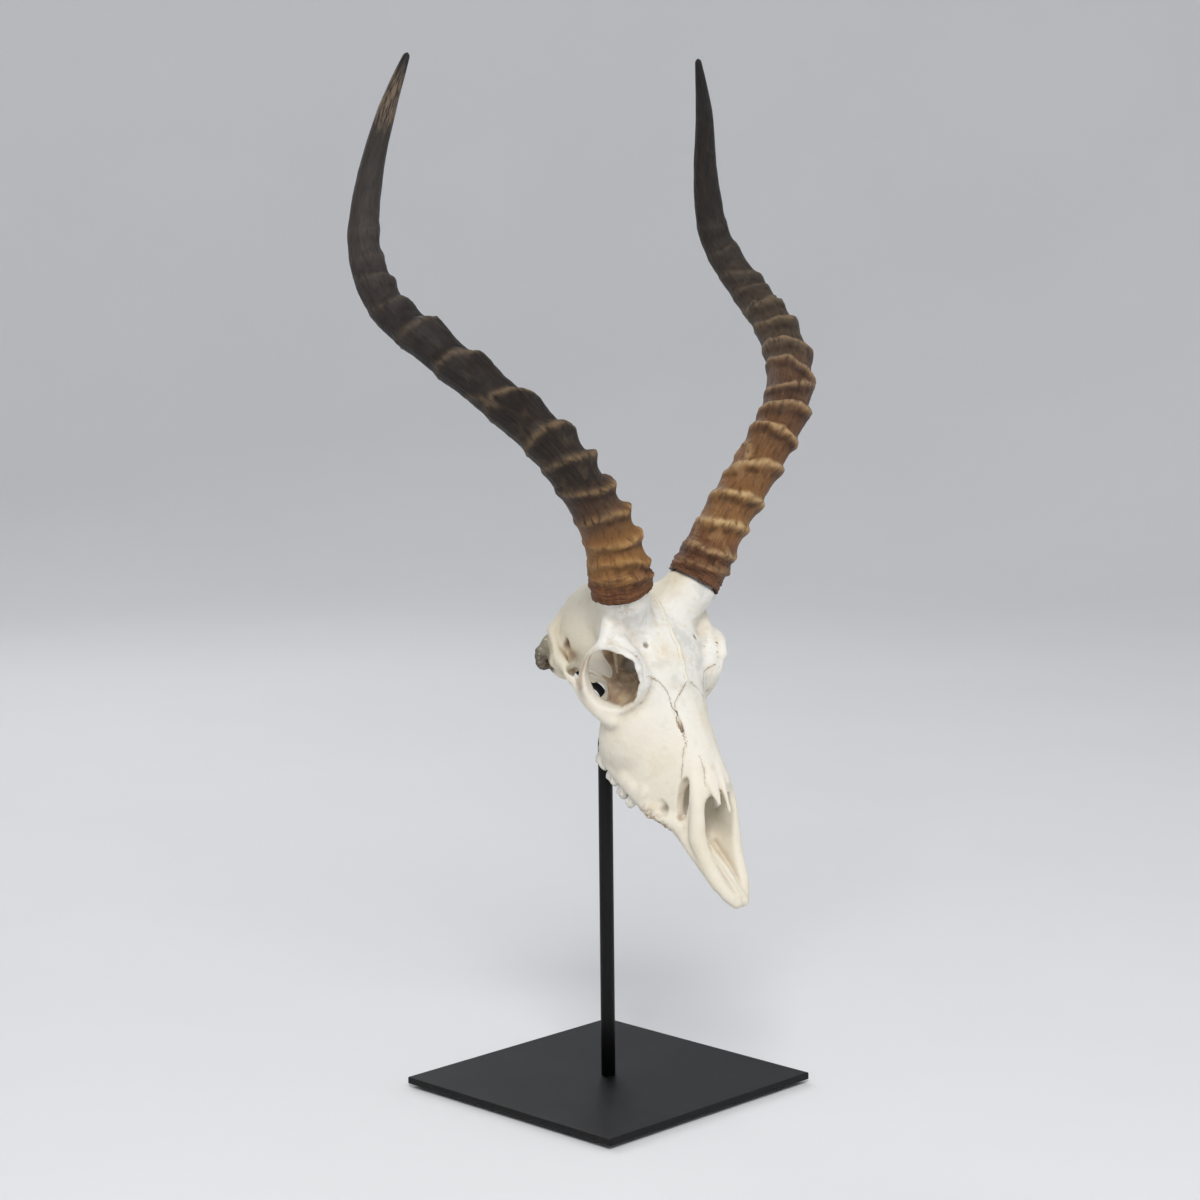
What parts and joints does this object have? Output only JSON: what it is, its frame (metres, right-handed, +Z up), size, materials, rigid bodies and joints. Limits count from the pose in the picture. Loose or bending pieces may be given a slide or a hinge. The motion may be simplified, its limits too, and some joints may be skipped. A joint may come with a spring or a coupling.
{
  "type": "impala skull with horns on a display stand",
  "caption": "Bleached antelope skull with ringed lyre-shaped horns, held nose down by a bent rod on a square black steel stand.",
  "frame": {"origin": "middle of the flat underside of the stand's pad, on the surface it stands on", "axes": "+Z up along the post, muzzle towards -Y, the animal's left towards +X"},
  "size_m": [0.3731, 0.2292, 0.7173],
  "materials": {
    "bone": "dry bleached bone, off-white with cream tints",
    "horn_sheath": "ringed horn, amber brown at the base to near black at the tips",
    "enamel": "ivory tooth enamel with grey ridges",
    "black_steel": "satin black coated steel",
    "dark_pad": "thin dark non-slip pad"
  },
  "bodies": {
    "root": {"base_pad": "dark_pad", "base_plate": "black_steel", "post": "black_steel", "skull_rod": "black_steel", "skull": "bone", "horn_right": "horn_sheath", "horn_left": "horn_sheath", "tooth_right_m3": "enamel", "tooth_right_m2": "enamel", "tooth_right_m1": "enamel", "tooth_right_p4": "enamel", "tooth_left_m3": "enamel", "tooth_left_m2": "enamel", "tooth_left_m1": "enamel", "tooth_left_p4": "enamel"}
  },
  "joints": []
}
